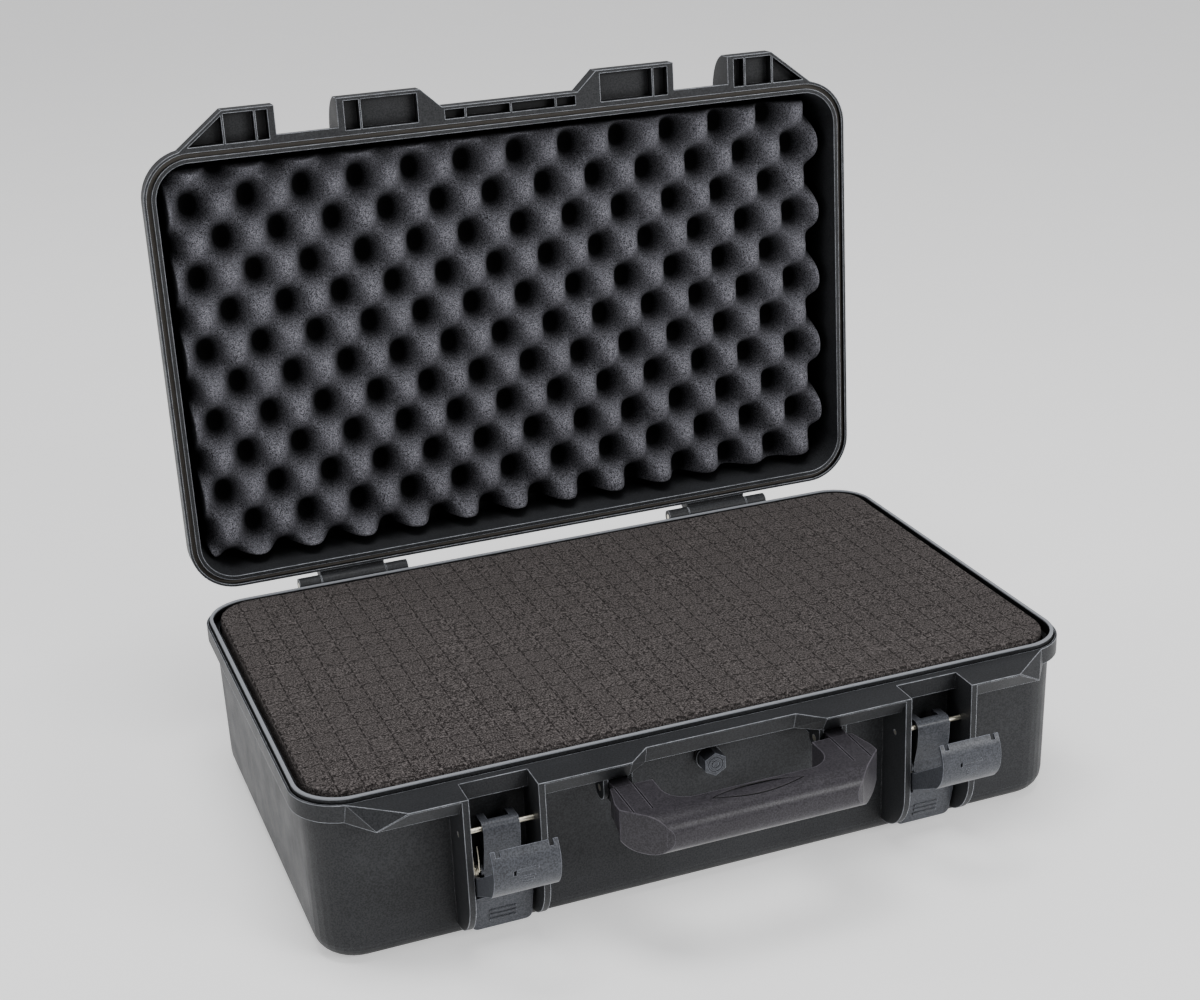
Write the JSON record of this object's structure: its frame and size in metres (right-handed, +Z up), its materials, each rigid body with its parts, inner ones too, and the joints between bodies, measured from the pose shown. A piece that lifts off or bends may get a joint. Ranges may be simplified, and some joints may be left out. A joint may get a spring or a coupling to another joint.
{
  "type": "hard_equipment_case",
  "caption": "Hard-shell plastic equipment case standing open: pluck-foam base, egg-crate foam lid, claw latches, folding handle, rear hinges and a pressure relief valve.",
  "frame": {"origin": "centre of the base's flat underside, which rests on the floor", "axes": "+X to the right seen from the front, +Y from the front (handle and latches) to the rear (hinges), +Z up; drawn with the lid open"},
  "size_m": [0.5, 0.4357, 0.4393],
  "materials": {
    "shell_plastic": "satin",
    "latch_plastic": "satin",
    "grip_plastic": "satin",
    "base_foam": "open-cell foam",
    "lid_foam": "open-cell foam",
    "seal_rubber": "matte",
    "pin_steel": "satin",
    "membrane": "matte"
  },
  "bodies": {
    "base": {"base_shell": "shell_plastic", "base_foam_pad": "base_foam", "pluck_foam": "base_foam", "valve_body": "shell_plastic", "valve_gasket": "seal_rubber", "valve_nut": "shell_plastic", "valve_membrane": "membrane", "hinge_pin_left": "pin_steel", "hinge_pin_right": "pin_steel", "handle_pin_left": "pin_steel", "handle_pin_right": "pin_steel", "latch_left_main_pin": "pin_steel", "latch_right_main_pin": "pin_steel"},
    "lid": {"lid_shell": "shell_plastic", "lid_seal": "seal_rubber", "lid_foam": "lid_foam"},
    "carry_handle": {"handle": "grip_plastic", "handle_thumb_inlay": "grip_plastic"},
    "valve_cap": {"valve_knob": "latch_plastic"},
    "left_lever": {"latch_left_lever": "latch_plastic", "latch_left_claw_pin": "pin_steel", "latch_left_spring": "pin_steel"},
    "left_claw": {"latch_left_claw": "latch_plastic"},
    "right_lever": {"latch_right_lever": "latch_plastic", "latch_right_claw_pin": "pin_steel", "latch_right_spring": "pin_steel"},
    "right_claw": {"latch_right_claw": "latch_plastic"}
  },
  "joints": [
    {"name": "lid_hinge", "type": "hinge", "parent": "base", "child": "lid", "pos_m": [0, 0.1575, 0.109], "axis": [1, 0, 0], "range_deg": [0, 92]},
    {"name": "handle_fold", "type": "hinge", "parent": "base", "child": "carry_handle", "pos_m": [0, -0.16, 0.09], "axis": [1, 0, 0], "range_deg": [-4, 78]},
    {"name": "valve_turn", "type": "hinge", "parent": "base", "child": "valve_cap", "pos_m": [-0.004, -0.158, 0.0865], "axis": [0, -1, 0], "range_deg": [-120, 120]},
    {"name": "left_lever_swing", "type": "hinge", "parent": "base", "child": "left_lever", "pos_m": [-0.1395, -0.16, 0.081], "axis": [1, 0, 0], "range_deg": [-45, 0]},
    {"name": "left_claw_close", "type": "hinge", "parent": "left_lever", "child": "left_claw", "pos_m": [-0.1395, -0.157, 0.053], "axis": [-1, 0, 0], "range_deg": [0, 56], "stiffness_Nm_per_rad": 0.01, "springref_deg": -20.05},
    {"name": "right_lever_swing", "type": "hinge", "parent": "base", "child": "right_lever", "pos_m": [0.1395, -0.16, 0.081], "axis": [1, 0, 0], "range_deg": [-45, 0]},
    {"name": "right_claw_close", "type": "hinge", "parent": "right_lever", "child": "right_claw", "pos_m": [0.1395, -0.157, 0.053], "axis": [-1, 0, 0], "range_deg": [0, 56], "stiffness_Nm_per_rad": 0.01, "springref_deg": -20.05}
  ]
}
